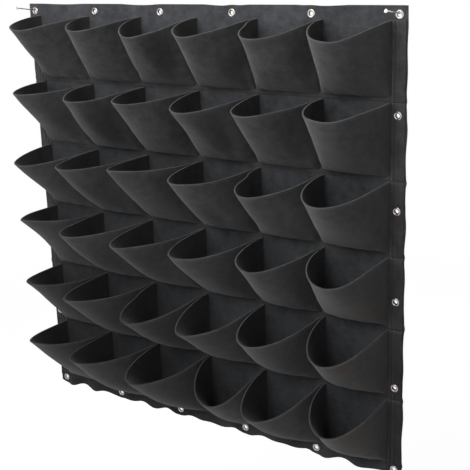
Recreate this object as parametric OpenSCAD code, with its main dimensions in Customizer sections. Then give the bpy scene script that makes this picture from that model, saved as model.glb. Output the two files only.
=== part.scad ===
// Felt wall planter: a felt backing sheet with rows of open pockets, set eyelets round its
// edge and two nails that it hangs on.
// X runs along the wall, Y into the wall and Z up. The back of the felt lies on the wall at
// Y = 0, and the nails cross that plane at Z = 0.

/* [Felt] */
// Width of the backing sheet
sheet_w = 1000; // [800:10:1300]
// Height of the backing sheet
sheet_h = 1000; // [800:10:1300]
// Thickness of the felt
felt_t = 3; // [2:0.5:4]

/* [Pockets] */
// Pockets side by side in one strip
cols = 6; // [4:1:7]
// Gap at a seam between the outer faces of the pockets on its two sides
seam_gap = 2.4; // [2:0.1:6]
// Height of the flat hem under the pockets of a strip
hem_h = 12; // [9:1:20]
// Gap between one strip's hem and the mouths of the next strip
row_gap = 3; // [1:0.5:8]
// How far the mouth of a usual pocket stands out
reach = 160; // [130:5:180]
// How far the front of a usual mouth hangs below its seams
droop = 20; // [15:5:40]
// Distance from the side edge of a strip to the side edge of the backing
strip_inset = 2; // [1:0.5:5]

/* [Sewing thread] */
// Width of a sewn line of thread
thread_w = 1.2; // [0.8:0.1:1.6]
// Height of a sewn line above the felt
thread_t = 0.6; // [0.4:0.1:1]
// Distance from the fold under a pocket to the sewn line in the hem
seam_drop = 4; // [3.5:0.5:5]
// Distance from the side edge of the backing to the outer sewn line
margin_seam = 22; // [20:0.5:24]

/* [Eyelets] */
// Eyelets along one side, corners included
eyelets_per_side = 6; // [4:1:8]
// Distance from the edge of the backing to the middle of an eyelet
eyelet_inset = 17; // [15:0.5:22]
// Radius of the hole through an eyelet
eyelet_bore_r = 4.75; // [4.4:0.05:5.2]
// Wall of the eyelet's barrel
barrel_wall = 0.6; // [0.4:0.1:0.8]
// Outer radius of the eyelet's flange and of its washer
flange_r = 9; // [8:0.5:11]
// Height of the rounded flange above the felt
flange_h = 1.4; // [1:0.1:2]
// Thickness of the washer behind the felt
washer_t = 0.8; // [0.6:0.1:1]
// Thickness of the barrel's rolled end behind the washer
roll_t = 0.4; // [0.3:0.1:0.6]
// Width of the barrel's rolled end
roll_w = 1.2; // [0.8:0.1:1.6]
// Clearance between the barrel and what it passes through
barrel_clear = 0.05; // [0.02:0.01:0.2]
// Clearance from an eyelet's flange to the nearest pocket strip or pocket
flange_clear = 1; // [1:0.5:4]

/* [Nails] */
// Radius of a nail's shank
nail_r = 1.5; // [1.2:0.1:1.8]
// Radius of a nail's head
nail_head_r = 3.6; // [3:0.1:4.2]
// Thickness of a nail's head
nail_head_t = 1.2; // [0.8:0.1:2]
// Length of the shank in front of the wall
nail_out = 62; // [40:1:90]
// Length of the shank in the wall
nail_in = 30; // [20:1:50]
// Length of a nail's point
nail_tip = 5; // [3:0.5:8]
// Upward tilt of the nails in degrees
nail_tilt = 8; // [4:0.5:10]
// Clearance between a nail and the eyelet that hangs on it
hang_gap = 0.6; // [0.3:0.1:0.8]

/* [Hidden] */

// The number of strips is fixed, because each strip has its own node
rows = 6;
felt_colour = [0.17, 0.17, 0.18];
thread_colour = [0.28, 0.28, 0.29];
nickel_colour = [0.78, 0.76, 0.74];
nail_colour = [0.62, 0.6, 0.57];

// How each pocket hangs, strip by strip from the top: added reach, added droop and lean to the
// right of the front of its mouth
ways = [
  [[-10, 0, -10], [-20, 0, 10], [-25, 10, 0], [-15, 5, -5], [-40, 10, -15], [-30, 10, 0]],
  [[-10, -10, -15], [10, -5, 5], [10, -10, -5], [0, 0, -10], [-10, 0, -25], [5, -5, 10]],
  [[-5, 0, -35], [20, -10, -30], [15, -20, -35], [20, -10, -15], [-5, 5, -15], [20, 0, 10]],
  [[-15, -20, -35], [20, -10, -40], [20, -5, -40], [20, -5, -25], [20, -5, 0], [10, 5, 15]],
  [[-5, -20, -30], [20, -10, -40], [20, 15, -20], [5, 20, -30], [20, 5, -10], [-10, 25, -5]],
  [[-5, -20, -40], [20, -10, -40], [20, 5, -15], [-25, 35, 10], [5, 25, -10], [-15, 30, 0]]
];
// Steps round one mouth, and the levels of a pocket from its mouth to the fold under it
arc_steps = 10;
levels = [0, 0.5, 0.85, 0.96, 1];
// Powers of the curve round a mouth (1 is an ellipse, less is fuller), of its droop and lean
mouth_power = 0.8;
droop_power = 1.4;
lean_power = 2;
// A pocket's front runs straight down from the mouth and tucks in above the fold by this share.
// The pockets at the left edge are slimmer there.
tuck = 0.3;
left_tuck = 0.15;
tuck_power = 6;
// Longest miter of the felt's thickness at a fold
miter_limit = 2;
// Number of sides that a round piece is drawn with
round_fn = 64;
flange_steps = 6;
cut = 1;

// The nails cross the wall at Z = 0, and the top eyelets hang on them
single_bore = felt_t + flange_h;
hang_drop = eyelet_bore_r - nail_r / cos(nail_tilt) - single_bore / 2 * tan(nail_tilt) - hang_gap;
eyelet_top_z = single_bore / 2 * tan(nail_tilt) - hang_drop;
sheet_top_z = eyelet_top_z + eyelet_inset;

barrel_r = eyelet_bore_r + barrel_wall;
eyelet_step_x = (sheet_w - 2 * eyelet_inset) / (eyelets_per_side - 1);
eyelet_step_z = (sheet_h - 2 * eyelet_inset) / (eyelets_per_side - 1);

// Margins round the pockets, which keep them clear of the eyelets
top_margin = eyelet_inset + flange_r + 2 * flange_clear;
bottom_margin = eyelet_inset + flange_r + flange_clear;
seam_w = seam_gap + 2 * felt_t;
side_margin = eyelet_inset + flange_r + flange_clear + seam_w / 2;
row_pitch = (sheet_h - top_margin - bottom_margin + row_gap) / rows;
strip_h = row_pitch - row_gap;
pocket_h = strip_h - hem_h;
col_pitch = (sheet_w - 2 * side_margin) / cols;
pocket_w = col_pitch - seam_w;

function eyelet_x(i) = -sheet_w / 2 + eyelet_inset + i * eyelet_step_x;
function eyelet_z(i) = eyelet_top_z - i * eyelet_step_z;
function seam_x(c) = -sheet_w / 2 + side_margin + c * col_pitch;
function rim_z(r) = sheet_top_z - top_margin - r * row_pitch;

function way(r, c, k) = c >= 0 && c < len(ways[r]) ? ways[r][c][k] : 0;

// A station across a strip is [pocket, angle]: the angle runs round the mouth from 0 to 180,
// in smaller steps near the seams. The first and last stations are the strip's own ends.
function stations() = concat(
  [[-1, 0]],
  [for (c = [0 : cols - 1], i = [0 : arc_steps]) [c, 90 * (1 - cos(180 * i / arc_steps))]],
  [[cols, 0]]
);
function station_x(s) = s[0] < 0 ? -sheet_w / 2 + strip_inset
  : s[0] >= cols ? sheet_w / 2 - strip_inset
  : seam_x(s[0]) + col_pitch / 2 - pocket_w / 2 * cos(s[1]);
function bulge(s) = s[0] < 0 || s[0] >= cols ? 0 : max(0, sin(s[1]));

// The felt's inner face at station s and level j; the last level is the hem's lower edge
function level_drop(j) = j < len(levels) ? levels[j] * pocket_h : strip_h;
function closeness(j) = j < len(levels) ? levels[j] : 1;
function openness(s, j) = let (t = closeness(j), k = s[0] > 0 ? tuck : left_tuck)
  (1 - k) * (1 - t) + k * sqrt(1 - pow(t, tuck_power));
function inner(r, s, j) = [
  station_x(s) + way(r, s[0], 2) * openness(s, j) * pow(bulge(s), lean_power),
  -felt_t - (reach + way(r, s[0], 0)) * openness(s, j) * pow(bulge(s), mouth_power),
  rim_z(r) - level_drop(j)
    - (droop + way(r, s[0], 1)) * (1 - closeness(j)) * pow(bulge(s), droop_power)
];

// The outer face lies one thickness out along the felt's own normal. Where the felt lies on
// the backing, the outer face is kept flat, and a fold gets a miter.
function unit(v) = norm(v) > 0 ? v / norm(v) : v;
function normal_at(g, i, j) = let (
  n = len(g[0]) - 1,
  m = len(g) - 1,
  along = (i < n ? unit(g[j][i + 1] - g[j][i]) : [0, 0, 0])
    + (i > 0 ? unit(g[j][i] - g[j][i - 1]) : [0, 0, 0]),
  up = (j > 0 ? unit(g[j - 1][i] - g[j][i]) : [0, 0, 0])
    + (j < m ? unit(g[j][i] - g[j + 1][i]) : [0, 0, 0])
) unit(cross(along, up));
function outer(g, i, j) = let (
  q = g[j][i],
  v = normal_at(g, i, j),
  flat = q[1] > -felt_t - 0.001
) flat ? q + v * felt_t * min(miter_limit, 1 / abs(v[1])) : q + v * felt_t;

module rounded() {
  $fn = round_fn;
  children();
}

// A cylinder along Y from y0 to y1
module bar_y(r, y0, y1) {
  rounded() translate([0, y0, 0]) rotate([-90, 0, 0]) cylinder(r = r, h = y1 - y0);
}

module along_row(k) {
  for (i = [0 : eyelets_per_side - 1]) translate([eyelet_x(i), 0, eyelet_z(k)]) children();
}

module along_side(side) {
  for (i = [1 : eyelets_per_side - 2])
    translate([side * eyelet_x(eyelets_per_side - 1), 0, eyelet_z(i)]) children();
}

module at_side_eyelets() {
  for (side = [-1, 1]) along_side(side) children();
}

module at_every_eyelet() {
  at_side_eyelets() children();
  for (k = [0, eyelets_per_side - 1]) along_row(k) children();
}

module backing_sheet() {
  color(felt_colour) difference() {
    translate([-sheet_w / 2, -felt_t, sheet_top_z - sheet_h]) cube([sheet_w, felt_t, sheet_h]);
    at_every_eyelet() {
      bar_y(barrel_r + barrel_clear, -felt_t - cut, cut);
      bar_y(flange_r + barrel_clear, -roll_t - washer_t, cut);
    }
  }
}

// One strip of felt with all its pockets, as one closed sheet
module strip_sheet(r) {
  st = stations();
  last_j = len(levels);
  n = len(st);
  g = [for (j = [0 : last_j]) [for (s = st) inner(r, s, j)]];
  size = n * (last_j + 1);
  back = [for (j = [0 : last_j], i = [0 : n - 1]) g[j][i]];
  front = [for (j = [0 : last_j], i = [0 : n - 1]) outer(g, i, j)];
  function b(i, j) = j * n + i;
  function f(i, j) = size + j * n + i;
  polyhedron(points = concat(back, front), faces = concat(
    [for (j = [0 : last_j - 1], i = [0 : n - 2]) each [
      [f(i, j), f(i + 1, j), f(i + 1, j + 1)], [f(i, j), f(i + 1, j + 1), f(i, j + 1)],
      [b(i, j), b(i + 1, j + 1), b(i + 1, j)], [b(i, j), b(i, j + 1), b(i + 1, j + 1)]
    ]],
    [for (i = [0 : n - 2]) each [
      [b(i, 0), b(i + 1, 0), f(i + 1, 0)], [b(i, 0), f(i + 1, 0), f(i, 0)],
      [f(i, last_j), f(i + 1, last_j), b(i + 1, last_j)],
      [f(i, last_j), b(i + 1, last_j), b(i, last_j)]
    ]],
    [for (j = [0 : last_j - 1]) each [
      [b(0, j), f(0, j), f(0, j + 1)], [b(0, j), f(0, j + 1), b(0, j + 1)],
      [f(n - 1, j), b(n - 1, j), b(n - 1, j + 1)], [f(n - 1, j), b(n - 1, j + 1), f(n - 1, j + 1)]
    ]]
  ));
}

module pocket_strip(r) {
  color(felt_colour) difference() {
    strip_sheet(r);
    at_side_eyelets() bar_y(barrel_r + barrel_clear, -2 * felt_t - cut, cut);
  }
}

// A sewn line that lies on the front of a strip
module thread_bar(x, z, w, h) {
  translate([x - w / 2, -2 * felt_t - thread_t, z - h]) cube([w, thread_t, h]);
}

module seam_thread(r) {
  sewn_h = pocket_h + seam_drop;
  color(thread_colour) {
    for (c = [0 : cols]) thread_bar(seam_x(c), rim_z(r), thread_w, sewn_h);
    thread_bar(0, rim_z(r) - pocket_h - seam_drop + thread_w / 2, seam_x(cols) - seam_x(0), thread_w);
  }
}

module margin_thread(side) {
  color(thread_colour) difference() {
    for (r = [0 : rows - 1]) thread_bar(side * (sheet_w / 2 - margin_seam), rim_z(r), thread_w, strip_h);
    at_side_eyelets() bar_y(flange_r + flange_clear, -2 * felt_t - thread_t - cut, 0);
  }
}

// An eyelet set through felt of thickness grip: bore, rounded flange in front, rolled end behind
module eyelet(grip) {
  mid_r = (eyelet_bore_r + flange_r) / 2;
  half_w = (flange_r - eyelet_bore_r) / 2;
  dome = [for (i = [0 : flange_steps]) let (a = 180 * i / flange_steps)
    [mid_r - half_w * cos(a), grip + flange_h * sin(a)]];
  rounded() rotate([90, 0, 0]) rotate_extrude() polygon(concat(
    [[eyelet_bore_r, 0]],
    dome,
    [[barrel_r, grip], [barrel_r, roll_t], [barrel_r + roll_w, roll_t], [barrel_r + roll_w, 0]]
  ));
}

module washer() {
  rounded() rotate([90, 0, 0]) translate([0, 0, roll_t]) difference() {
    cylinder(r = flange_r, h = washer_t);
    translate([0, 0, -cut]) cylinder(r = barrel_r + barrel_clear, h = washer_t + 2 * cut);
  }
}

module eyelets_top() { color(nickel_colour) along_row(0) eyelet(felt_t); }
module eyelets_bottom() { color(nickel_colour) along_row(eyelets_per_side - 1) eyelet(felt_t); }
module eyelets_left() { color(nickel_colour) along_side(-1) eyelet(2 * felt_t); }
module eyelets_right() { color(nickel_colour) along_side(1) eyelet(2 * felt_t); }
module washers_top() { color(nickel_colour) along_row(0) washer(); }
module washers_bottom() { color(nickel_colour) along_row(eyelets_per_side - 1) washer(); }
module washers_left() { color(nickel_colour) along_side(-1) washer(); }
module washers_right() { color(nickel_colour) along_side(1) washer(); }

// A round nail that tilts up towards its head and crosses the wall at Z = 0
module nail(x) {
  color(nail_colour) rounded() translate([x, 0, 0]) rotate([-90 - nail_tilt, 0, 0]) {
    translate([0, 0, -nail_out]) cylinder(r = nail_r, h = nail_out + nail_in);
    translate([0, 0, nail_in]) cylinder(r1 = nail_r, r2 = 0, h = nail_tip);
    translate([0, 0, -nail_out - nail_head_t]) cylinder(r = nail_head_r, h = nail_head_t);
  }
}
module nail_left() { nail(eyelet_x(0)); }
module nail_right() { nail(eyelet_x(eyelets_per_side - 1)); }

backing_sheet();
pocket_strip(0);  // pocket_strip_1
pocket_strip(1);  // pocket_strip_2
pocket_strip(2);  // pocket_strip_3
pocket_strip(3);  // pocket_strip_4
pocket_strip(4);  // pocket_strip_5
pocket_strip(5);  // pocket_strip_6
seam_thread(0);  // seam_thread_1
seam_thread(1);  // seam_thread_2
seam_thread(2);  // seam_thread_3
seam_thread(3);  // seam_thread_4
seam_thread(4);  // seam_thread_5
seam_thread(5);  // seam_thread_6
margin_thread(-1);  // margin_thread_left
margin_thread(1);  // margin_thread_right
eyelets_top();
eyelets_right();
eyelets_bottom();
eyelets_left();
washers_top();
washers_right();
washers_bottom();
washers_left();
nail_left();
nail_right();
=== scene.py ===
import math
import random

import bpy
import numpy as np
from mathutils import Matrix, Vector


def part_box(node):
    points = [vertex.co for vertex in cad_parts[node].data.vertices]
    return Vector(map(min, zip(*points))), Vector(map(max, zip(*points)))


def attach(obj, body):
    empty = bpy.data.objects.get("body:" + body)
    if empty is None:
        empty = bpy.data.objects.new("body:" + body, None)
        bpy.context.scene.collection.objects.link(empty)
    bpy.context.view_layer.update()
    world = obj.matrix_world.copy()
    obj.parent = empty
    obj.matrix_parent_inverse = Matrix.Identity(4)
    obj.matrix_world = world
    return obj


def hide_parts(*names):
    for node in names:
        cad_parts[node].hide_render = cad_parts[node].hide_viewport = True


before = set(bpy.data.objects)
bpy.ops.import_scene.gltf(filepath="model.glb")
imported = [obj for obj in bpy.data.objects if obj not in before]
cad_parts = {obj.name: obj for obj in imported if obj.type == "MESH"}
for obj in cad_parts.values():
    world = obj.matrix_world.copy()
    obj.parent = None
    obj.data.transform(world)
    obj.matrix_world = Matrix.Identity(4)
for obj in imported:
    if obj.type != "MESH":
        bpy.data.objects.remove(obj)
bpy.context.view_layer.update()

# The camera stands where the photograph was taken from. Distances are in metres
CAMERA_AT = Vector((1.3104, -1.7685, 0.1329))
CAMERA_AZIMUTH = math.radians(34.76)
CAMERA_ELEVATION = math.radians(16.22)
CAMERA_ROLL = math.radians(-1.98)
CAMERA_LENS_MM = 76.0

# Felt, pockets and thread
ROWS = 6
COLS = 6
FELT = 0.003
SEAM_WIDTH = 0.0084
SEAM_DROP = 0.004
THREAD_WIDTH = 0.0012
EYELETS_PER_SIDE = 6
FLANGE_RADIUS = 0.009
BORE_RADIUS = 0.0054
WASHER_RECESS = 0.0013

# How the pockets stand open
REACH = 0.160
DROOP = 0.020
MOUTH_POWER = 0.8
DROOP_POWER = 1.4
LEAN_POWER = 2
TUCK = 0.3
LEFT_TUCK = 0.15
TUCK_POWER = 4
# How each pocket hangs, strip by strip from the top: added reach, added droop and lean to the
# right of the front of its mouth, in millimetres
WAYS = (
    ((-10, 0, -10), (-20, 0, 10), (-25, 10, 0), (-15, 5, -5), (-40, 10, -15), (-30, 10, 0)),
    ((-10, -10, -15), (10, -5, 5), (10, -10, -5), (0, 0, -10), (-10, 0, -25), (5, -5, 10)),
    ((-5, 0, -35), (20, -10, -30), (15, -20, -35), (20, -10, -15), (-5, 5, -15), (20, 0, 10)),
    ((-15, -20, -35), (20, -10, -40), (20, -5, -40), (20, -5, -25), (20, -5, 0), (10, 5, 15)),
    ((-5, -20, -30), (20, -10, -40), (20, 15, -20), (5, 20, -30), (20, 5, -10), (-10, 25, -5)),
    ((-5, -20, -40), (20, -10, -40), (20, 5, -15), (-25, 35, 10), (5, 25, -10), (-15, 30, 0)),
)

# Dents in the fronts, strip by strip: pocket, share of the way round from its left seam and
# share of the way down where it is deepest, its half widths round and down, and depth in
# millimetres. Each slopes in from its left to its deepest line and runs out softly at its right
DENTS = (
    (
        (0, 0.55, 0.60, 0.10, 0.30, 5), (2, 0.72, 0.45, 0.12, 0.45, 15),
        (3, 0.80, 0.70, 0.12, 0.25, 8), (4, 0.14, 0.00, 0.08, 0.50, 12),
        (4, 0.86, 0.55, 0.10, 0.40, 8),
    ),
    (
        (0, 0.75, 0.50, 0.12, 0.35, 10), (1, 0.70, 0.45, 0.12, 0.50, 16),
        (2, 0.88, 0.50, 0.10, 0.40, 6), (3, 0.70, 0.40, 0.11, 0.40, 14),
        (4, 0.85, 0.45, 0.12, 0.35, 8),
    ),
    (
        (1, 0.70, 0.55, 0.14, 0.35, 13), (2, 0.85, 0.35, 0.10, 0.30, 10),
        (3, 0.62, 0.65, 0.10, 0.30, 7), (4, 0.14, 0.00, 0.07, 0.50, 24),
        (5, 0.90, 0.50, 0.08, 0.50, 7),
    ),
    (
        (1, 0.13, 0.00, 0.08, 0.50, 12), (1, 0.70, 0.50, 0.14, 0.30, 12),
        (2, 0.68, 0.45, 0.12, 0.35, 13), (3, 0.82, 0.55, 0.12, 0.30, 8),
        (4, 0.88, 0.50, 0.10, 0.40, 8), (5, 0.90, 0.50, 0.07, 0.50, 7),
    ),
    (
        (1, 0.80, 0.50, 0.12, 0.35, 10), (2, 0.14, 0.00, 0.08, 0.50, 16),
        (2, 0.78, 0.45, 0.12, 0.35, 12), (4, 0.82, 0.55, 0.12, 0.30, 9),
        (5, 0.88, 0.55, 0.07, 0.40, 6),
    ),
    (
        (1, 0.78, 0.55, 0.12, 0.30, 9), (2, 0.85, 0.50, 0.10, 0.30, 8),
        (4, 0.76, 0.60, 0.12, 0.25, 8), (5, 0.66, 0.60, 0.12, 0.25, 6),
    ),
)

# A dent starts this many half widths to the left of its deepest line, and its crease carries
# painted shade in proportion to its depth, full at this many millimetres
DENT_START = 1.5
DEEP_DENT = 16

# Soft waves in the fronts, outwards, sideways and up: how deep they are, how fast they run round
# and down a front, how many are summed, between which factors their speeds differ, and the power
# by which they fade from the mouth down
FRONT_WAVES = (
    (0.0035, 5, 4, 5, 0.6, 1.8, 0.5),
    (0.0030, 4, 4, 4, 0.6, 1.6, 0.7),
    (0.0014, 9, 0, 4, 0.8, 2.0, 3),
)
# Gathers above the fold: how deep they are, how fast they run round a front and over which share
# of it they fade upwards
GATHERS = 0.0045
GATHERS_SPEED = 34
GATHERS_FADE = 0.16

# How far down from the mouths their edges are teased out
TEASED_DEPTH = 0.0045

# The uneven front of the felt: its depth as a share of the thickness, and about how many radians
# its waves run through in a metre
FLUFF = 0.06
FLUFF_WAVES = 160
# How much thicker at most the felt is made, measured square to its face, to keep it level where
# it lies flat beside a pocket
MOST_STRETCH = 2.0
# Beside a line of stitches the felt swells, and along it the thread draws it in: how much, as
# shares of its thickness, how far off and how wide. A strip's margins do so from this far inside
# its outer seams
DRAWN_IN = 0.25
DRAWN_IN_WIDTH = 0.0012
SWELL = 0.35
SWELL_AT = 0.0045
SWELL_WIDTH = 0.0025
SWELL_INSIDE = 0.012

# The backing hangs free at its edges. Its lower margin curls forward and up in waves from this
# far above the last hem, its top edge dips, and its side edges wander and swell beside the hems.
# None of it reaches an eyelet. Its waves run through about so many radians in a metre
MARGIN_START = 0.004
CURL = 0.008
CURL_WAVES = 62
LIFT = 0.006
LIFT_WAVE = 0.005
LIFT_WAVES = 70
DIP = 0.0022
DIP_FADE = 0.02
DIP_WAVES = 26
WANDER = 0.0015
WANDER_WAVES = 45
HEM_SWELL = 0.002
HEM_SWELL_WIDTH = 0.006
HEM_SWELL_SLIP = 0.004
SIDE_FADE = 0.012
CALM_RADIUS = 0.010
CALM_FADE = 0.020

# Cut edges are rounded: shares of the thickness where they have points, and how far the middle
# one stands out
EDGE_SHARES = (0.22, 0.5, 0.78)
EDGE_RISE = 0.0005

# Holes: sides of a circle, and where their cutters start and end, well clear of the felt. A
# washer's recess has this room round the washer at its bottom and at the felt's back, and its
# cutter ends this far behind the felt
HOLE_SIDES = 40
CUT_FROM = -0.02
CUT_TO = 0.01
RECESS_ROOM = 0.0001
RECESS_FLARE = 0.0012
RECESS_TO = 0.0002

# A stitch: its length, half width and flatness, the share of its length that is missing at each
# end, how far its ends lie under the felt's face and its middle stands out from them, how far it
# slips to the side and how much it turns. A line of stitches stops short of what it meets
STITCH = 0.005
STITCH_HALF_WIDTH = 0.00055
STITCH_FLATNESS = 0.8
STITCH_GAP = 0.06
STITCH_DIVE = 0.0005
STITCH_RISE = 0.00085
STITCH_SLIP = 0.0002
STITCH_TURN = 0.07
STITCH_SIDES = 6
STITCH_RINGS = 5
STOPS_SHORT = 0.001

# Seeds of the random draws
FRONT_SEED = 100
FLUFF_SEED = 300
SEAM_SEED = 500
MARGIN_SEED = 700
BACKING_SEED = 7

# Grids of one strip and of the backing
ARC_STEPS = 36
LIP_LEVELS = (0.0, 0.01, 0.02, 0.035)
LEVEL_STEPS = 26
HEM_STEPS = 6
MARGIN_STEPS = 40
SEAM_STEPS = 4
BACKING_STEPS = 110


def make_camera():
    """A camera where the photographer stood, rolled as the photograph is."""
    sin_a, cos_a = math.sin(CAMERA_AZIMUTH), math.cos(CAMERA_AZIMUTH)
    sin_e, cos_e = math.sin(CAMERA_ELEVATION), math.cos(CAMERA_ELEVATION)
    ahead = Vector((-sin_a * cos_e, cos_a * cos_e, -sin_e))
    right = ahead.cross(Vector((0, 0, 1))).normalized()
    up = right.cross(ahead)
    turned_right = right * math.cos(CAMERA_ROLL) + up * math.sin(CAMERA_ROLL)
    turned_up = up * math.cos(CAMERA_ROLL) - right * math.sin(CAMERA_ROLL)
    turn = Matrix((turned_right, turned_up, -ahead)).transposed()
    data = bpy.data.cameras.new("camera")
    data.lens = CAMERA_LENS_MM
    data.sensor_width = 36.0
    data.clip_start = 0.01
    data.clip_end = 100.0
    camera = bpy.data.objects.new("camera", data)
    camera.matrix_world = Matrix.Translation(CAMERA_AT) @ turn.to_4x4()
    bpy.context.scene.collection.objects.link(camera)
    bpy.context.scene.camera = camera


make_camera()


class Nodes:
    """Short calls for building one material's node tree."""

    def __init__(self, name):
        self.material = bpy.data.materials.new(name)
        self.material.use_nodes = True
        self.tree = self.material.node_tree
        self.shader = self.tree.nodes["Principled BSDF"]
        self.place = self.add("ShaderNodeTexCoord").outputs["Object"]

    def add(self, kind, **settings):
        node = self.tree.nodes.new(kind)
        for key, value in settings.items():
            setattr(node, key, value)
        return node

    def link(self, source, socket):
        self.tree.links.new(source, socket)

    def noise(self, scale, detail=4.0, roughness=0.6, place=None, distortion=0.0):
        node = self.add("ShaderNodeTexNoise")
        node.inputs["Scale"].default_value = scale
        node.inputs["Detail"].default_value = detail
        node.inputs["Roughness"].default_value = roughness
        node.inputs["Distortion"].default_value = distortion
        self.link(place or self.place, node.inputs["Vector"])
        return node.outputs["Fac"]

    def stretched(self, turn, scale):
        """The object's own space, turned and stretched for a noise."""
        node = self.add("ShaderNodeMapping")
        node.inputs["Rotation"].default_value = turn
        node.inputs["Scale"].default_value = scale
        self.link(self.place, node.inputs["Vector"])
        return node.outputs["Vector"]

    def attribute(self, name):
        """A number that the mesh carries at its points, or 0 where it has none of that name."""
        return self.add("ShaderNodeAttribute", attribute_name=name).outputs["Fac"]

    def ramp(self, source, low, high, start, end):
        """A number from start to end as source goes from low to high."""
        node = self.add("ShaderNodeMapRange")
        node.inputs["From Min"].default_value = low
        node.inputs["From Max"].default_value = high
        node.inputs["To Min"].default_value = start
        node.inputs["To Max"].default_value = end
        self.link(source, node.inputs["Value"])
        return node.outputs["Result"]

    def axes(self, source):
        """The X, Y and Z of a vector."""
        node = self.add("ShaderNodeSeparateXYZ")
        self.link(source, node.inputs["Vector"])
        return node.outputs

    def math(self, operation, a, b=0.0):
        node = self.add("ShaderNodeMath", operation=operation)
        for socket, value in zip(node.inputs, (a, b)):
            if isinstance(value, (int, float)):
                socket.default_value = value
            else:
                self.link(value, socket)
        return node.outputs["Value"]

    def mix(self, factor, a, b):
        """Mixes two colours; each may be a socket or a tuple."""
        node = self.add("ShaderNodeMix", data_type="RGBA")
        for socket, value in ((node.inputs[0], factor), (node.inputs[6], a), (node.inputs[7], b)):
            if isinstance(value, (int, float)):
                socket.default_value = value
            elif isinstance(value, tuple):
                socket.default_value = (*value, 1.0)
            else:
                self.link(value, socket)
        return node.outputs[2]

    def colour(self, source):
        self.link(source, self.shader.inputs["Base Color"])

    def bump(self, height, distance, strength=1.0, after=None):
        """Roughens the surface, on top of an earlier bump if one is given."""
        node = self.add("ShaderNodeBump")
        node.inputs["Distance"].default_value = distance
        node.inputs["Strength"].default_value = strength
        self.link(height, node.inputs["Height"])
        if after is not None:
            self.link(after, node.inputs["Normal"])
        self.link(node.outputs["Normal"], self.shader.inputs["Normal"])
        return node.outputs["Normal"]

    def set(self, **values):
        for key, value in values.items():
            self.shader.inputs[key.replace("_", " ")].default_value = value


BLACK = (0.0, 0.0, 0.0)
LINT = (0.22, 0.22, 0.23)
NO_TURN = (0.0, 0.0, 0.0)
# The felt's fibres, one direction a line: scale of a noise, turn and stretch of its space, and
# its distortion
FIBRES = (
    (900.0, (0.3, 0.9, 0.5), (1.0, 0.12, 0.5), 0.6),
    (900.0, (1.2, 0.2, 2.1), (0.12, 1.0, 0.5), 0.6),
    (700.0, (0.7, 1.9, 1.3), (1.0, 0.5, 0.12), 0.8),
)

# Where the felt's browning, painted shade and teased edges start and where they are full, in metres
# along X
LEFT_END = (-0.42, -0.47)
RIGHT_END = (0.35, 0.41)
RIGHT_MARGIN = (0.455, 0.47)
TO_THE_LEFT = (0.3, -0.1)
TO_THE_RIGHT = (-0.1, 0.3)
LEFT_POCKETS = (0.15, -0.25)
# The same along Z
TOP_TO_BOTTOM = (-0.05, -1.0)
LOWER_HALF = (-0.38, -0.5)

# Painted shade: how much darker the felt is painted at the bottom, how many times that is at
# the left and along the right margin, and how much darker inside the left pockets and in dents
DOWNWARD_SHADE = 0.42
SIDE_SHADE_FACTOR = 1.85
INSIDE_SHADE = 0.6
DENT_SHADE = 0.5
# The colour of the mouths' teased edges, and how much of it shows at the left and at the right
TEASED = (0.125, 0.125, 0.13)
TEASED_LEFT = 0.32
TEASED_RIGHT = 0.8


def felt_shade(n, patches, fibres):
    """How light the felt is: clouds, patches, fibres and fine level streaks."""
    clouds = n.ramp(n.noise(7.0, detail=3.0), 0.35, 0.68, 0.0, 0.45)
    streaks = n.noise(260.0, 2.0, 0.5, n.stretched(NO_TURN, (0.08, 0.3, 1.0)))
    shade = n.math("ADD", clouds, n.ramp(patches, 0.3, 0.72, -0.1, 0.4))
    shade = n.math("ADD", shade, n.ramp(fibres, 0.5, 0.78, 0.0, 0.42))
    return n.math("ADD", shade, n.ramp(streaks, 0.3, 0.7, -0.06, 0.06))


def felt_browning(n, across, height):
    """How brown the felt is: in clouds, on the pockets at the left and on those low at the right."""
    clouds = n.ramp(n.noise(4.0, detail=2.0), 0.5, 0.75, 0.0, 0.3)
    mottled = n.ramp(n.noise(14.0, detail=2.0), 0.42, 0.6, 0.1, 1.0)
    low_down = n.ramp(height, *LOWER_HALF, 0.0, 1.0)
    right = n.math("MULTIPLY", n.ramp(across, *RIGHT_END, 0.0, 1.0), low_down)
    right = n.math("MULTIPLY", right, mottled)
    ends = n.math("MAXIMUM", n.ramp(across, *LEFT_END, 0.0, 0.9), right)
    ends = n.math("MULTIPLY", ends, n.math("MULTIPLY", n.attribute("pocket"), 0.7))
    return n.math("MAXIMUM", clouds, ends)


def felt_painted_shades(n, across, height):
    """Painted shade on the felt: darker towards the bottom, inside the left pockets and in dents'
    creases.
    """
    to_left = n.ramp(across, *TO_THE_LEFT, 1.0, SIDE_SHADE_FACTOR)
    right_margin = n.ramp(across, *RIGHT_MARGIN, 1.0, SIDE_SHADE_FACTOR)
    # Painted shade: darker towards the bottom, and more so at the left and along the right margin
    shade_down = n.ramp(height, *TOP_TO_BOTTOM, 0.0, DOWNWARD_SHADE)
    shade_down = n.math("MULTIPLY", shade_down, n.math("MAXIMUM", to_left, right_margin))
    # Painted shade inside the left pockets
    shade_inside = n.math("MULTIPLY", n.attribute("inside"), n.ramp(across, *LEFT_POCKETS, 0.0, INSIDE_SHADE))
    # Painted shade along the dents' creases
    return shade_down, shade_inside, n.math("MULTIPLY", n.attribute("creased"), DENT_SHADE)


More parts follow.
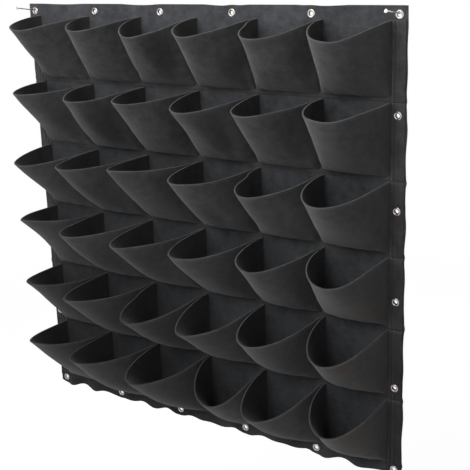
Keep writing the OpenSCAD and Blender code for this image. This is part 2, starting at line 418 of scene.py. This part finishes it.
def felt_material(name, dark, light, tint):
    """Needled felt: tangled fibres that run every way, with cloudy shading and stray lint.

    It carries painted shade: darker towards the bottom, most of all at the left and along the
    right margin, inside the left pockets and along the dents' creases. It is browner in a few
    places, and lighter along the mouths, where the cut edge is teased out.
    """
    n = Nodes(name)
    across, _, height = n.axes(n.place)
    patches = n.noise(55.0, detail=4.0, roughness=0.65)
    ways = [n.noise(scale, 3.0, 0.7, n.stretched(*space), bend) for scale, *space, bend in FIBRES]
    fibres = n.math("MAXIMUM", n.math("MAXIMUM", ways[0], ways[1]), ways[2])
    body = n.mix(felt_shade(n, patches, fibres), dark, light)
    body = n.mix(felt_browning(n, across, height), body, tint)
    # Each painted shade darkens the colour towards black
    for painted_shade in felt_painted_shades(n, across, height):
        body = n.mix(painted_shade, body, BLACK)
    worn = n.ramp(across, *TO_THE_RIGHT, TEASED_LEFT, TEASED_RIGHT)
    worn = n.math("MULTIPLY", worn, n.ramp(patches, 0.35, 0.65, 0.75, 1.1))
    body = n.mix(n.math("MULTIPLY", n.attribute("teased"), worn), body, TEASED)
    lint = n.noise(420.0, 2.0, 0.5, n.stretched((0.5, 0.2, 0.9), (1.0, 0.3, 1.0)))
    n.colour(n.mix(n.ramp(lint, 0.76, 0.82, 0.0, 0.5), body, LINT))
    n.link(n.ramp(fibres, 0.4, 0.8, 1.0, 0.82), n.shader.inputs["Roughness"])
    n.set(Sheen_Weight=0.25, Sheen_Roughness=0.55, Specular_IOR_Level=0.25)
    coarse = n.bump(patches, 0.0016, 0.6)
    n.bump(fibres, 0.0007, 0.9, coarse)
    return n.material


THREAD_DARK = (0.012, 0.012, 0.013)
THREAD_LIGHT = (0.06, 0.06, 0.065)


def thread_material():
    """Dark sewing thread with its twist."""
    n = Nodes("thread")
    twist = n.noise(1600.0, 2.0, 0.5, n.stretched((0.4, 0.4, 0.4), (1.0, 0.3, 1.0)))
    n.colour(n.mix(n.ramp(twist, 0.35, 0.7, 0.0, 1.0), THREAD_DARK, THREAD_LIGHT))
    n.set(Roughness=0.6, Sheen_Weight=0.15)
    n.bump(twist, 0.0003, 0.8)
    return n.material


# The nickel's colours where it is clean, dull and inside a bore, where it is painted shade, and where
# it dulls along Z
NICKEL_CLEAN = (0.52, 0.49, 0.47)
NICKEL_DULL = (0.27, 0.215, 0.195)
NICKEL_BORE_SHADE = (0.030, 0.018, 0.015)
NICKEL_DULLS = (-0.1, -0.6)


def nickel_material():
    """Dull nickel plate with fine rubbing marks, painted near black inside the bores as shade, and
    duller and browner lower down.

    A face is inside a bore, or on another upright wall, where its normal has next to no Y.
    """
    n = Nodes("nickel")
    normal = n.axes(n.add("ShaderNodeTexCoord").outputs["Normal"])
    bore = n.ramp(n.math("ABSOLUTE", normal["Y"]), 0.35, 0.1, 0.0, 1.0)
    tarnish = n.ramp(n.noise(160.0, 5.0, 0.7), 0.4, 0.7, 0.0, 0.6)
    rub = n.noise(900.0, 2.0, 0.6, n.stretched((0.2, 0.6, 0.1), (1.0, 0.2, 0.2)))
    dull = n.math("ADD", tarnish, n.ramp(n.axes(n.place)["Z"], *NICKEL_DULLS, 0.0, 0.4))
    # Inside the bores the colour is painted shade, near black
    n.colour(n.mix(bore, n.mix(dull, NICKEL_CLEAN, NICKEL_DULL), NICKEL_BORE_SHADE))
    rough = n.math("MAXIMUM", n.ramp(rub, 0.35, 0.7, 0.16, 0.36), n.math("MULTIPLY", bore, 0.85))
    n.link(rough, n.shader.inputs["Roughness"])
    n.link(n.ramp(bore, 0.0, 1.0, 1.0, 0.1), n.shader.inputs["Metallic"])
    n.bump(rub, 0.0001, 0.4)
    return n.material


NAIL_BRIGHT = (0.72, 0.70, 0.68)
NAIL_RUST = (0.20, 0.10, 0.06)


def nail_material():
    """Bright drawn steel that browns in spots."""
    n = Nodes("nail_steel")
    rust = n.noise(120.0, 6.0, 0.75)
    drawn = n.noise(1400.0, 2.0, 0.5, n.stretched(NO_TURN, (1.0, 0.04, 1.0)))
    n.colour(n.mix(n.ramp(rust, 0.47, 0.62, 0.0, 1.0), NAIL_BRIGHT, NAIL_RUST))
    n.link(n.ramp(rust, 0.45, 0.65, 0.22, 0.75), n.shader.inputs["Roughness"])
    n.link(n.ramp(rust, 0.5, 0.7, 1.0, 0.35), n.shader.inputs["Metallic"])
    n.bump(drawn, 0.0001, 0.5)
    return n.material


# Each felt's dark, light and browned colours
FELT_COLOURS = (0.033, 0.033, 0.034), (0.115, 0.115, 0.116), (0.086, 0.062, 0.054)
BACK_COLOURS = (0.036, 0.038, 0.043), (0.122, 0.128, 0.140), (0.085, 0.078, 0.078)
EDGE_COLOURS = (0.050, 0.051, 0.053), (0.17, 0.17, 0.175), (0.11, 0.10, 0.095)
FELT_LOOK = felt_material("felt", *FELT_COLOURS)
BACK_LOOK = felt_material("felt_backing", *BACK_COLOURS)
EDGE_LOOK = felt_material("felt_cut_edge", *EDGE_COLOURS)
THREAD_LOOK = thread_material()
NICKEL_LOOK = nickel_material()
NAIL_LOOK = nail_material()


def new_object(name, vertices, faces, materials, face_materials=None):
    """A mesh object in the scene. face_materials numbers each face's material."""
    mesh = bpy.data.meshes.new(name)
    mesh.from_pydata([tuple(v) for v in vertices], [], faces)
    for look in materials:
        mesh.materials.append(look)
    if face_materials is not None:
        mesh.polygons.foreach_set("material_index", face_materials)
    mesh.validate()
    mesh.update()
    piece = bpy.data.objects.new(name, mesh)
    bpy.context.scene.collection.objects.link(piece)
    return piece


def smooth(piece, angle=50.0):
    """Shades a piece smooth, but for edges that turn by more than an angle in degrees."""
    piece.data.shade_smooth()
    piece.data.set_sharp_from_angle(angle=math.radians(angle))


def ease(x):
    """A smooth step: 0 up to x = 0, 1 from x = 1."""
    x = np.clip(x, 0.0, 1.0)
    return x * x * (3 - 2 * x)


def ripples(u, v, rng, waves, low, high):
    """A smooth uneven surface from -1 to 1: a sum of waves with random directions and phases."""
    total = np.zeros(np.broadcast(u, v).shape)
    for _ in range(waves):
        a, b = rng.uniform(low, high) * rng.choice((-1, 1)), rng.uniform(low, high)
        total = total + np.sin(a * u + b * v + rng.uniform(0, 2 * math.pi))
    return total / math.sqrt(2 * waves)


# Places that the fixed frame gives
sheet_low, sheet_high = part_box("backing_sheet")


def strip_places(r):
    """Where strip r lies: its seams, its mouths' height, its fold and its hem."""
    thread_low, thread_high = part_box(f"seam_thread_{r + 1}")
    felt_low, felt_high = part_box(f"pocket_strip_{r + 1}")
    first = thread_low.x + THREAD_WIDTH / 2
    last = thread_high.x - THREAD_WIDTH / 2
    return {
        "left": felt_low.x,
        "right": felt_high.x,
        "seams": np.linspace(first, last, COLS + 1),
        "rim": thread_high.z,
        "fold": thread_low.z + SEAM_DROP,
        "hem": felt_low.z,
        "sewn": thread_low.z + THREAD_WIDTH / 2,
    }


def eyelet_places():
    """Centres of the eyelets as (x, z, felt layers)."""
    top_low, top_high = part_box("eyelets_top")
    bottom_low, bottom_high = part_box("eyelets_bottom")
    xs = np.linspace(top_low.x + FLANGE_RADIUS, top_high.x - FLANGE_RADIUS, EYELETS_PER_SIDE)
    lowest, highest = (bottom_low.z + bottom_high.z) / 2, (top_low.z + top_high.z) / 2
    zs = np.linspace(lowest, highest, EYELETS_PER_SIDE)
    found = [(x, z, 1) for x in xs for z in (zs[0], zs[-1])]
    return found + [(x, z, 2) for x in (xs[0], xs[-1]) for z in zs[1:-1]]


def openness(t, tuck):
    """How far the front stands out at share t of the way down, from 1 at the mouth to 0."""
    return (1 - tuck) * (1 - t) + tuck * np.sqrt(np.maximum(0.0, 1 - t**TUCK_POWER))


def strip_columns(place):
    """The columns of a strip's grid as (x, pocket or -1, share of the way round the mouth)."""
    half_seam = SEAM_WIDTH / 2
    seams = place["seams"]
    first = np.linspace(place["left"], seams[0] + half_seam, MARGIN_STEPS)[:-1]
    columns = [(x, -1, 0.0) for x in first]
    for c in range(COLS):
        start, end = seams[c] + half_seam, seams[c + 1] - half_seam
        for i in range(ARC_STEPS + 1):
            share = (1 - math.cos(math.pi * i / ARC_STEPS)) / 2
            x = (start + end) / 2 - (end - start) / 2 * math.cos(math.pi * share)
            columns.append((x, c, share))
        if c < COLS - 1:
            gap = np.linspace(end, seams[c + 1] + half_seam, SEAM_STEPS + 1)[1:-1]
            columns += [(x, -1, 0.0) for x in gap]
    last = np.linspace(seams[-1] - half_seam, place["right"], MARGIN_STEPS)[1:]
    return columns + [(x, -1, 0.0) for x in last]


def wave_fronts(r, out, grid_x, z, columns, t, hem):
    """Adds soft waves to the fronts of strip r, and gathers above its fold."""
    pocket, share, bulge = columns
    rng = random.Random(FRONT_SEED + r)
    for c in range(COLS):
        own = pocket == c
        u = share[own][None, :]
        calm = bulge[own][None, :]
        for grid, (deep, run, fall, count, low, high, fade) in zip((out, grid_x, z), FRONT_WAVES):
            wave = ripples(run * u, fall * t, rng, count, low, high)
            grid[:, own] += deep * wave * calm * (1 - t) ** fade
        gathers = ripples(GATHERS_SPEED * u, 0 * t, rng, 3, 0.7, 1.3)
        near_fold = np.exp(-(((1 - t) / GATHERS_FADE) ** 2)) * (hem <= 0)
        out[:, own] += GATHERS * (0.5 + 0.5 * gathers) * near_fold * ease(calm * 2.5) * (t < 1)


def dent_fronts(r, out, columns, t):
    """Presses the dents into the fronts of strip r. Returns the painted shade along their creases."""
    pocket, share, bulge = columns
    crease_shade = np.zeros_like(out)
    for c, at_u, at_t, wide, deep, depth in DENTS[r]:
        own = pocket == c
        past = (share[own][None, :] - at_u) / wide
        fall = (t - at_t) / deep
        slope = np.clip(1 + past / DENT_START, 0, 1) ** 1.4
        shape = np.where(past < 0, slope, np.exp(-(past**2))) * np.exp(-(fall**2))
        out[:, own] -= depth / 1000 * shape * ease(bulge[own][None, :] * 2) * ease((1 - t) * 4)
        # Painted shade along the dent's crease, in proportion to its depth
        crease = ease((past + DENT_START) / 0.3) * (1 - ease(past / 1.2)) * np.exp(-(fall**4))
        crease_shade[:, own] = np.maximum(crease_shade[:, own], crease * (depth / DEEP_DENT))
    return crease_shade


def strip_face(r):
    """The back face of strip r as a grid of points, from its mouths down to its hem's edge.

    With it come the numbers for the material, each as a pair for the back and the front.
    """
    place = strip_places(r)
    x, pocket, share = (np.array(values) for values in zip(*strip_columns(place)))
    bulge = np.where(pocket >= 0, np.maximum(0, np.sin(math.pi * share)), 0.0)
    below = np.sin(np.linspace(0, math.pi / 2, LEVEL_STEPS + 1))[1:]
    levels = np.concatenate([LIP_LEVELS, below])
    t = np.concatenate([levels, np.ones(HEM_STEPS)])[:, None]
    hem = np.concatenate([np.zeros(len(levels)), np.linspace(0, 1, HEM_STEPS + 1)[1:]])[:, None]
    ways = np.array([WAYS[r][c] if c >= 0 else (0, 0, 0) for c in pocket]) / 1000
    more_reach, more_droop, lean = ways.T
    height = place["rim"] - place["fold"]
    stands_out = openness(t, np.where(pocket > 0, TUCK, LEFT_TUCK))
    out = (REACH + more_reach) * stands_out * bulge**MOUTH_POWER
    z = place["rim"] - t * height - (DROOP + more_droop) * (1 - t) * bulge**DROOP_POWER
    z = z - hem * (place["fold"] - place["hem"])
    grid_x = x + lean * stands_out * bulge**LEAN_POWER
    wave_fronts(r, out, grid_x, z, (pocket, share, bulge), t, hem)
    crease_shade = dent_fronts(r, out, (pocket, share, bulge), t)
    y = -FELT - np.maximum(out, 0.0)
    lip = np.exp(-((t * height / TEASED_DEPTH) ** 2)) * (hem <= 0) * (0.55 + 0.45 * bulge)
    scoop = ease(4 * bulge) * (hem <= 0)
    # The creased and inside marks carry painted shade; teased and pocket are the felt's own colour
    marks = {"teased": (0, lip), "creased": (0, crease_shade), "pocket": (0, scoop), "inside": (scoop, 0)}
    return np.stack([grid_x, y, z], axis=-1), marks, place


def unit(v):
    """Vectors of length 1."""
    return v / np.maximum(np.linalg.norm(v, axis=-1, keepdims=True), 1e-12)


def front_normals(grid):
    """At each point of a grid the direction square to it that looks to the front."""
    along = np.gradient(grid, axis=1)
    up = -np.gradient(grid, axis=0)
    return unit(np.cross(unit(along), unit(up)))


def sheet_mesh(name, back, front, looks, marks):
    """A closed sheet between two grids of points, with a rounded cut edge all round.

    The marks are numbers for the material, each as a pair for the back and the front.
    """
    rows, cols = back.shape[:2]
    size = rows * cols
    ring = [(0, i) for i in range(cols)] + [(j, cols - 1) for j in range(1, rows)]
    ring += [(rows - 1, i) for i in range(cols - 2, -1, -1)] + [(j, 0) for j in range(rows - 2, 0, -1)]
    middle = (back + front) / 2
    outward = np.zeros_like(middle)
    outward[0] += middle[0] - middle[1]
    outward[-1] += middle[-1] - middle[-2]
    outward[:, 0] += middle[:, 0] - middle[:, 1]
    outward[:, -1] += middle[:, -1] - middle[:, -2]
    outward = unit(outward)
    vertices = [*back.reshape(-1, 3), *front.reshape(-1, 3)]
    edge_start = len(vertices)
    for s in EDGE_SHARES:
        rise = EDGE_RISE * math.sin(math.pi * s)
        for j, i in ring:
            vertices.append(back[j, i] * (1 - s) + front[j, i] * s + outward[j, i] * rise)
    faces = []
    for j in range(rows - 1):
        for i in range(cols - 1):
            a, b, c, d = j * cols + i, j * cols + i + 1, (j + 1) * cols + i + 1, (j + 1) * cols + i
            faces.append((size + a, size + d, size + c, size + b))
            faces.append((a, b, c, d))
    face_looks = [0] * len(faces)
    count = len(ring)
    bands = [[j * cols + i for j, i in ring]]
    bands += [[edge_start + k * count + q for q in range(count)] for k in range(len(EDGE_SHARES))]
    bands.append([size + j * cols + i for j, i in ring])
    for near, far in zip(bands, bands[1:]):
        for q in range(count):
            p = (q + 1) % count
            faces.append((near[q], far[q], far[p], near[p]))
            face_looks.append(1)
    piece = new_object(name, vertices, faces, looks, face_looks)
    for mark, (on_back, on_front) in marks.items():
        values = np.zeros(len(vertices))
        values[:size] = np.broadcast_to(on_back, (rows, cols)).reshape(-1)
        values[size : 2 * size] = np.broadcast_to(on_front, (rows, cols)).reshape(-1)
        piece.data.attributes.new(mark, "FLOAT", "POINT").data.foreach_set("value", values)
    return piece


def emboss(x, lines):
    """How much the felt swells beside each upright line of stitches and is drawn in along it."""
    total = np.zeros_like(x)
    for at in lines:
        off = np.abs(x - at)
        total = total - DRAWN_IN * np.exp(-((off / DRAWN_IN_WIDTH) ** 2))
        total = total + SWELL * np.exp(-(((off - SWELL_AT) / SWELL_WIDTH) ** 2))
    return total


def cut_out(piece, centres, radius_front, radius_back, y_front, y_back):
    """Cuts round holes along Y through a piece, or recesses into it."""
    vertices, faces = [], []
    sides = HOLE_SIDES
    for x, z in centres:
        start = len(vertices)
        for y, radius in ((y_front, radius_front), (y_back, radius_back)):
            for k in range(sides):
                a = 2 * math.pi * k / sides
                vertices.append((x + radius * math.cos(a), y, z + radius * math.sin(a)))
        faces.append(tuple(start + k for k in range(sides)))
        faces.append(tuple(start + 2 * sides - 1 - k for k in range(sides)))
        for k in range(sides):
            n = (k + 1) % sides
            faces.append((start + k, start + sides + k, start + sides + n, start + n))
    cutter = new_object("cutter", vertices, faces, [EDGE_LOOK])
    modifier = piece.modifiers.new("holes", "BOOLEAN")
    modifier.operation = "DIFFERENCE"
    modifier.solver = "EXACT"
    modifier.object = cutter
    bpy.context.view_layer.update()
    graph = bpy.context.evaluated_depsgraph_get()
    made = bpy.data.meshes.new_from_object(piece.evaluated_get(graph))
    piece.modifiers.clear()
    old = piece.data
    piece.data = made
    made.name = piece.name
    bpy.data.meshes.remove(old)
    bpy.data.objects.remove(cutter)


def side_eyelets(place):
    """Where eyelets go through a strip's margins, as (x, z)."""
    return [(x, z) for x, z, layers in EYELETS if layers == 2 and place["hem"] < z < place["rim"]]


def margin_line(name):
    """Where the line of stitches along one margin lies."""
    low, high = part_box(f"margin_thread_{name}")
    return (low.x + high.x) / 2


def make_strip(r):
    """A pocket strip with its holes for the side eyelets."""
    back, marks, place = strip_face(r)
    normal = front_normals(back)
    lies_flat = back[..., 1] > -FELT - 1e-5
    square = np.maximum(np.abs(normal[..., 1]), 1 / MOST_STRETCH)
    stretch = np.where(lies_flat, 1 / square, 1.0)
    rng = random.Random(FLUFF_SEED + r)
    spots = back * FLUFF_WAVES
    fluff = 1 + FLUFF * ripples(spots[..., 0], spots[..., 2], rng, 5, 0.5, 1.5)
    first, last = place["seams"][0], place["seams"][-1]
    x = back[0, :, 0]
    in_margins = np.abs(x) > last - SWELL_INSIDE
    swell = emboss(x, [first, last, margin_line("left"), margin_line("right")])
    fluff = fluff + (swell * in_margins)[None, :]
    front = back + normal * (FELT * stretch * fluff)[..., None]
    piece = sheet_mesh(f"pocket_felt_{r + 1}", back, front, [FELT_LOOK, EDGE_LOOK], marks)
    holes = side_eyelets(place)
    if holes:
        cut_out(piece, holes, BORE_RADIUS, BORE_RADIUS, CUT_FROM, CUT_TO)
    smooth(piece)
    return piece


def make_backing():
    """The backing sheet, with its wavy lower edge and uneven cut edges."""
    xs = np.linspace(sheet_low.x, sheet_high.x, BACKING_STEPS + 1)
    zs = np.linspace(sheet_high.z, sheet_low.z, BACKING_STEPS + 1)
    x, z = np.meshgrid(xs, zs)
    rng = random.Random(BACKING_SEED)
    last_hem = strip_places(ROWS - 1)["hem"]
    down_margin = ease((last_hem + MARGIN_START - z) / (last_hem - sheet_low.z))
    calm = np.ones_like(x)
    for ex, ez, _ in EYELETS:
        calm = calm * ease((np.hypot(x - ex, z - ez) - CALM_RADIUS) / CALM_FADE)
    wave = ripples(x * CURL_WAVES, 0 * z, rng, 3, 0.8, 1.25)
    forward = CURL * (0.6 + 0.6 * wave) * down_margin * calm
    wave = ripples(x * LIFT_WAVES, 0 * z, rng, 3, 0.8, 1.3)
    up = (LIFT + LIFT_WAVE * wave) * down_margin * calm
    dip = DIP * np.maximum(0, ripples(x * DIP_WAVES, 0 * z, rng, 3, 0.7, 1.4))
    dip = dip * ease(1 - (sheet_high.z - z) / DIP_FADE) * calm
    side = ease(1 - (sheet_high.x - np.abs(x)) / SIDE_FADE)
    wave = ripples(0 * x, z * WANDER_WAVES, rng, 4, 0.6, 1.6)
    sideways = WANDER * wave * side * np.sign(x) * calm
    for r in range(ROWS):
        swell_z = strip_places(r)["hem"] + rng.uniform(-HEM_SWELL_SLIP, HEM_SWELL_SLIP)
        swell = HEM_SWELL * np.exp(-(((z - swell_z) / HEM_SWELL_WIDTH) ** 2))
        sideways = sideways + swell * side * np.sign(x)
    back = np.stack([x + sideways, -forward, z + up - dip], axis=-1)
    front = back + np.array([0, -FELT, 0])
    piece = sheet_mesh("backing_felt", back, front, [BACK_LOOK, EDGE_LOOK], {})
    centres = [(ex, ez) for ex, ez, _ in EYELETS]
    cut_out(piece, centres, BORE_RADIUS, BORE_RADIUS, CUT_FROM, CUT_TO)
    bottom, mouth = FLANGE_RADIUS + RECESS_ROOM, FLANGE_RADIUS + RECESS_FLARE
    cut_out(piece, centres, bottom, mouth, -WASHER_RECESS, RECESS_TO)
    smooth(piece)
    return piece


def stitch_line(start, end, rng):
    """Stitches from start to end, both (x, z), that dive into the felt's face at each hole."""
    sides, rings = STITCH_SIDES, STITCH_RINGS
    line = Vector((end[0] - start[0], end[1] - start[1]))
    length = line.length
    along = line / length
    across = Vector((-along.y, along.x))
    count = max(1, round(length / STITCH))
    step = length / count
    vertices, faces = [], []
    for k in range(count):
        first = len(vertices)
        slip = rng.uniform(-STITCH_SLIP, STITCH_SLIP)
        turn = rng.uniform(-STITCH_TURN, STITCH_TURN)
        for j in range(rings):
            s = j / (rings - 1)
            run = (k + STITCH_GAP + (1 - 2 * STITCH_GAP) * s) * step
            rise = math.sin(math.pi * s)
            side = slip + turn * (s - 0.5) * step
            x = start[0] + along.x * run + across.x * side
            z = start[1] + along.y * run + across.y * side
            y = -2 * FELT + STITCH_DIVE - STITCH_RISE * rise**0.7
            thick = STITCH_HALF_WIDTH * (0.75 + 0.25 * rise)
            for q in range(sides):
                a = 2 * math.pi * q / sides
                vertices.append((
                    x + across.x * thick * math.cos(a),
                    y + thick * STITCH_FLATNESS * math.sin(a),
                    z + across.y * thick * math.cos(a),
                ))
        for j in range(rings - 1):
            for q in range(sides):
                p = (q + 1) % sides
                a, b = first + j * sides, first + (j + 1) * sides
                faces.append((a + q, a + p, b + p, b + q))
        faces.append(tuple(first + q for q in range(sides - 1, -1, -1)))
        faces.append(tuple(first + (rings - 1) * sides + q for q in range(sides)))
    return vertices, faces


def join_lines(name, lines):
    """One piece of thread made of several lines of stitches."""
    vertices, faces = [], []
    for own_vertices, own_faces in lines:
        start = len(vertices)
        vertices += own_vertices
        faces += [tuple(start + v for v in face) for face in own_faces]
    piece = new_object(name, vertices, faces, [THREAD_LOOK])
    smooth(piece, 60.0)
    return piece


def make_seam_stitches(r):
    """The seams of strip r: one upright at each end of a pocket, and one under all of them."""
    place = strip_places(r)
    rng = random.Random(SEAM_SEED + r)
    top, bottom = place["rim"] - STOPS_SHORT, place["sewn"]
    lines = [stitch_line((x, top), (x, bottom), rng) for x in place["seams"]]
    lines.append(stitch_line((place["seams"][0], bottom), (place["seams"][-1], bottom), rng))
    return join_lines(f"seam_stitches_{r + 1}", lines)


def make_margin_stitches(side, name):
    """The stitches along one margin, broken where an eyelet sits."""
    x = margin_line(name)
    rng = random.Random(MARGIN_SEED + side)
    lines = []
    for r in range(ROWS):
        place = strip_places(r)
        top = place["rim"] - STOPS_SHORT
        for z in sorted((ez for ex, ez in side_eyelets(place) if ex * side > 0), reverse=True):
            lines.append(stitch_line((x, top), (x, z + FLANGE_RADIUS + STOPS_SHORT), rng))
            top = z - FLANGE_RADIUS - STOPS_SHORT
        lines.append(stitch_line((x, top), (x, place["hem"] + STOPS_SHORT), rng))
    return join_lines(f"margin_stitches_{name}", lines)


# What the felt was cut to before it was sewn. A strip is as long as its mouths' edges and as high
# as its longest front with its hem. Darts between the pockets take it in to the backing's width
# at the fold, so its cut isn't a rectangle and its area is given too
BACKING_CUT = (1.0, 1.0)
STRIP_CUT = (2.6, 0.25)
STRIP_CUT_AREA = 0.36


def declare_felt(piece, flat, area, held, rests_on, *nodes):
    """Hides the frame's pieces that a felt piece stands for and hangs it on the planter. What it was
    cut to, its area, how it is held and what it rests on are not used.
    """
    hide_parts(*nodes)
    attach(piece, "planter")


EYELETS = eyelet_places()
backing = make_backing()
declare_felt(backing, BACKING_CUT, None, "hung", ["nail_left", "nail_right"], "backing_sheet")
for r in range(ROWS):
    strip = make_strip(r)
    declare_felt(
        strip, STRIP_CUT, STRIP_CUT_AREA, "gathered", ["backing_felt"], f"pocket_strip_{r + 1}"
    )
    stitches = make_seam_stitches(r)
    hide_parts(f"seam_thread_{r + 1}")
    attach(stitches, "planter")
for side, name in ((-1, "left"), (1, "right")):
    stitches = make_margin_stitches(side, name)
    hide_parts(f"margin_thread_{name}")
    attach(stitches, "planter")


def dress(node, look):
    """Gives one of the frame's own pieces its material."""
    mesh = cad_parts[node].data
    mesh.materials.clear()
    mesh.materials.append(look)


for where in ("top", "right", "bottom", "left"):
    dress(f"eyelets_{where}", NICKEL_LOOK)
    dress(f"washers_{where}", NICKEL_LOOK)
for where in ("left", "right"):
    dress(f"nail_{where}", NAIL_LOOK)


# Colour and strength of the world's own light
AMBIENT = (0.95, 0.97, 1.0, 1)
AMBIENT_STRENGTH = 0.06
# The floor's colour, the share of it that takes light and shadow, and the light that reaches it
FLOOR_COLOUR = (0.80, 0.80, 0.79, 1)
FLOOR_SHADED = 0.35
FLOOR_LIT = 0.28
# How wide the floor is to each side, how far it lies under the felt, and from where to where the
# shadow on it fades out
FLOOR_HALF = 12.0
FLOOR_DROP = 0.60
FLOOR_FADE = (1.8, 4.2)


def light_path_mix(tree, shown, lit):
    """Shown to the camera and in gloss and glass, lit for everything else."""
    path = tree.nodes.new("ShaderNodeLightPath")
    total = path.outputs["Is Camera Ray"]
    for name in ("Is Glossy Ray", "Is Transmission Ray"):
        most = tree.nodes.new("ShaderNodeMath")
        most.operation = "MAXIMUM"
        tree.links.new(total, most.inputs[0])
        tree.links.new(path.outputs[name], most.inputs[1])
        total = most.outputs[0]
    mix = tree.nodes.new("ShaderNodeMixShader")
    tree.links.new(total, mix.inputs[0])
    tree.links.new(lit, mix.inputs[1])
    tree.links.new(shown, mix.inputs[2])
    return mix.outputs[0]


def make_world():
    """A world that is white to the camera and lights the object only a little."""
    world = bpy.data.worlds.new("studio")
    world.use_nodes = True
    bpy.context.scene.world = world
    tree = world.node_tree
    shown = tree.nodes.new("ShaderNodeBackground")
    shown.inputs["Color"].default_value = (1, 1, 1, 1)
    lit = tree.nodes["Background"]
    lit.inputs["Color"].default_value = AMBIENT
    lit.inputs["Strength"].default_value = AMBIENT_STRENGTH
    mixed = light_path_mix(tree, shown.outputs[0], lit.outputs[0])
    tree.links.new(mixed, tree.nodes["World Output"].inputs["Surface"])


def make_floor():
    """A pale floor. To the camera it is white but for the object's shadow, which fades outwards."""
    half = FLOOR_HALF
    z = sheet_low.z - FLOOR_DROP
    corners = [(-half, -half, z), (half, -half, z), (half, half, z), (-half, half, z)]
    look = bpy.data.materials.new("floor")
    look.use_nodes = True
    tree = look.node_tree
    shader = tree.nodes["Principled BSDF"]
    shader.inputs["Base Color"].default_value = FLOOR_COLOUR
    shader.inputs["Roughness"].default_value = 0.9
    place = tree.nodes.new("ShaderNodeTexCoord")
    far = tree.nodes.new("ShaderNodeVectorMath")
    far.operation = "LENGTH"
    tree.links.new(place.outputs["Object"], far.inputs[0])

    def by_distance(start, end):
        ramp = tree.nodes.new("ShaderNodeMapRange")
        ramp.interpolation_type = "SMOOTHSTEP"
        ramp.inputs["From Min"].default_value = FLOOR_FADE[0]
        ramp.inputs["From Max"].default_value = FLOOR_FADE[1]
        ramp.inputs["To Min"].default_value = start
        ramp.inputs["To Max"].default_value = end
        tree.links.new(far.outputs["Value"], ramp.inputs["Value"])
        return ramp.outputs["Result"]

    shaded = tree.nodes.new("ShaderNodeBsdfDiffuse")
    tree.links.new(by_distance(FLOOR_SHADED, 0.0), shaded.inputs["Color"])
    glow = tree.nodes.new("ShaderNodeEmission")
    tree.links.new(by_distance(1 - FLOOR_SHADED * FLOOR_LIT, 1.0), glow.inputs["Strength"])
    both = tree.nodes.new("ShaderNodeAddShader")
    tree.links.new(shaded.outputs[0], both.inputs[0])
    tree.links.new(glow.outputs[0], both.inputs[1])
    mixed = light_path_mix(tree, both.outputs[0], shader.outputs[0])
    tree.links.new(mixed, tree.nodes["Material Output"].inputs["Surface"])
    floor = new_object("floor", corners, [(0, 1, 2, 3)], [look])


def make_lamp(name, at, aim, size, power):
    """A square lamp that looks from one point to another."""
    data = bpy.data.lights.new(name, "AREA")
    data.shape = "SQUARE"
    data.size = size
    data.energy = power
    lamp = bpy.data.objects.new(name, data)
    lamp.location = at
    lamp.rotation_euler = (Vector(aim) - Vector(at)).to_track_quat("-Z", "Y").to_euler()
    bpy.context.scene.collection.objects.link(lamp)


# Name, place, aim, size and power of each lamp
LAMPS = (
    ("key", (0.3, -2.4, 1.2), (0, 0, -0.4), 1.2, 21),
    ("left", (-0.8, -2.2, 0.6), (0, 0, -0.4), 1.2, 11),
    ("above", (-0.2, -0.9, 1.2), (0, 0, 0), 0.8, 9),
    ("low", (0.2, -2.2, -0.2), (0, 0, -0.5), 1.2, 5),
    ("behind", (-0.8, 2.6, 0.8), (0, 0, -0.4), 1.6, 18),
)

make_world()
make_floor()
for lamp in LAMPS:
    make_lamp(*lamp)
bpy.context.scene.view_settings.view_transform = "Standard"
